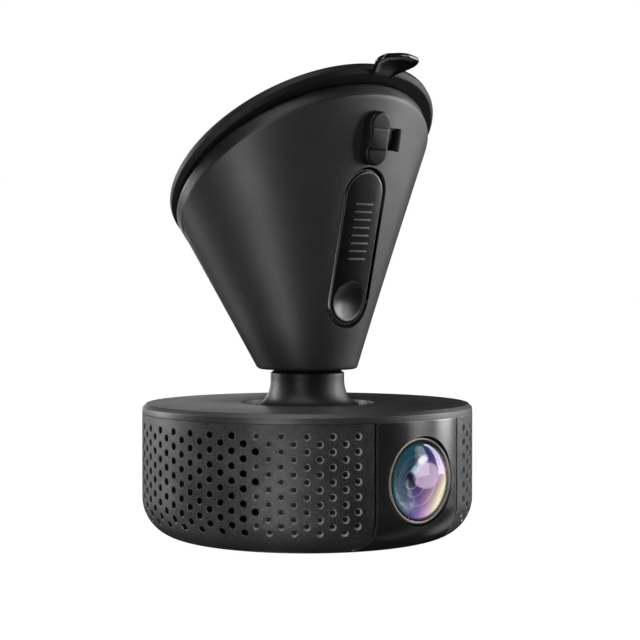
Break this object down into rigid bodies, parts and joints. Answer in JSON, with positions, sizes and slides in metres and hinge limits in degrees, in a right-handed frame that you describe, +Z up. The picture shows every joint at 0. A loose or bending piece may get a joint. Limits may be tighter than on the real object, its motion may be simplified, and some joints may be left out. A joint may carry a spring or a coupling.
{
  "type": "dash camera",
  "caption": "Round dash camera with a perforated side and front lens, joined by a magnetic swivel neck to a conical windscreen mount with a locking lever and a tilted suction cup.",
  "frame": {"origin": "centre of the flat base of the camera body, on the surface it stands on", "axes": "+Z up along the axis of the round body and neck; -Y towards the lens and the lever; +Y towards the low edge of the suction cup and the ports"},
  "size_m": [0.075, 0.0764, 0.1061],
  "materials": {
    "charcoal_plastic": "fine matt grain",
    "satin_black": "satin",
    "gloss_black": "gloss",
    "rubber": "smooth black rubber",
    "gunmetal": "anodised, satin",
    "lens_glass": "coated glass",
    "circuit_board": "solder mask",
    "steel": "brushed",
    "dark_steel": "blackened",
    "nylon": "natural",
    "foil": "plain tin",
    "dark_cloth": "woven dust mesh",
    "light_guide": "frosted"
  },
  "bodies": {
    "camera": {"base_pan": "satin_black", "side_shell": "charcoal_plastic", "front_fascia": "satin_black", "top_cover": "charcoal_plastic", "case_screw_1": "steel", "case_screw_2": "steel", "case_screw_3": "steel", "case_screw_4": "steel", "lens_bezel": "gunmetal", "lens_dome": "lens_glass", "lens_barrel": "gloss_black", "lens_inner_element": "lens_glass", "image_sensor": "gloss_black", "sensor_board": "circuit_board", "main_board": "circuit_board", "inner_frame": "charcoal_plastic", "processor_shield": "foil", "wifi_module": "foil", "microphone": "foil", "battery": "foil", "speaker": "dark_steel", "magnet_ring": "dark_steel", "card_socket": "steel", "usb_socket": "steel", "mesh_liner_right": "dark_cloth", "mesh_liner_left": "dark_cloth", "button_ring": "light_guide", "power_switch": "dark_steel", "button_board": "circuit_board", "reset_switch": "dark_steel"},
    "power_button": {"power_button": "satin_black"},
    "reset_button": {"reset_button": "satin_black"},
    "memory_card": {"memory_card": "gloss_black"},
    "keeper": {"keeper_plate": "steel", "swivel_rivet": "steel"},
    "neck": {"swivel_neck": "charcoal_plastic", "ball_stud": "steel"},
    "socket": {"socket_liner": "nylon"},
    "housing": {"cone_housing": "charcoal_plastic", "socket_clamp": "dark_steel", "socket_cover": "charcoal_plastic", "clamp_spring": "steel", "lever_pin": "steel", "cable_clip": "satin_black", "suction_cup": "rubber", "cup_seat": "charcoal_plastic", "plunger_spring": "steel", "seat_screw_1": "steel", "seat_screw_2": "steel", "seat_screw_3": "steel"},
    "lever": {"lever": "gloss_black"},
    "plunger": {"plunger": "nylon", "cam_follower": "steel", "retaining_clip": "steel"}
  },
  "joints": [
    {"name": "foot_lift", "type": "slide", "parent": "camera", "child": "keeper", "axis": [0, 0, 1], "range_m": [0, 0.02]},
    {"name": "neck_swivel", "type": "hinge", "parent": "keeper", "child": "neck", "pos_m": [0, 0, 0.03], "axis": [0, 0, 1], "continuous": true},
    {"name": "ball_nod", "type": "hinge", "parent": "neck", "child": "socket", "pos_m": [0, 0, 0.045], "axis": [1, 0, 0], "range_deg": [-6, 6]},
    {"name": "ball_lean", "type": "hinge", "parent": "socket", "child": "housing", "pos_m": [0, 0, 0.045], "axis": [0, 1, 0], "range_deg": [-6, 6]},
    {"name": "lever_open", "type": "hinge", "parent": "housing", "child": "lever", "pos_m": [0, -0.01636, 0.07594], "axis": [-1, 0, 0], "range_deg": [0, 70]},
    {"name": "plunger_push", "type": "slide", "parent": "housing", "child": "plunger", "axis": [0, 0.5906, 0.807], "range_m": [0, 0.0012], "deforming": ["plunger_spring"]},
    {"name": "power_press", "type": "slide", "parent": "camera", "child": "power_button", "axis": [0, -1, 0], "range_m": [0, 0.0006], "stiffness_N_per_m": 400},
    {"name": "reset_press", "type": "slide", "parent": "camera", "child": "reset_button", "axis": [0, -1, 0], "range_m": [0, 0.0005], "stiffness_N_per_m": 300},
    {"name": "card_eject", "type": "slide", "parent": "camera", "child": "memory_card", "axis": [0, 1, 0], "range_m": [0, 0.013]}
  ],
  "couplings": [
    {"joint": "lever_open", "follows": "plunger_push", "rad_per_m": 1017.1}
  ]
}
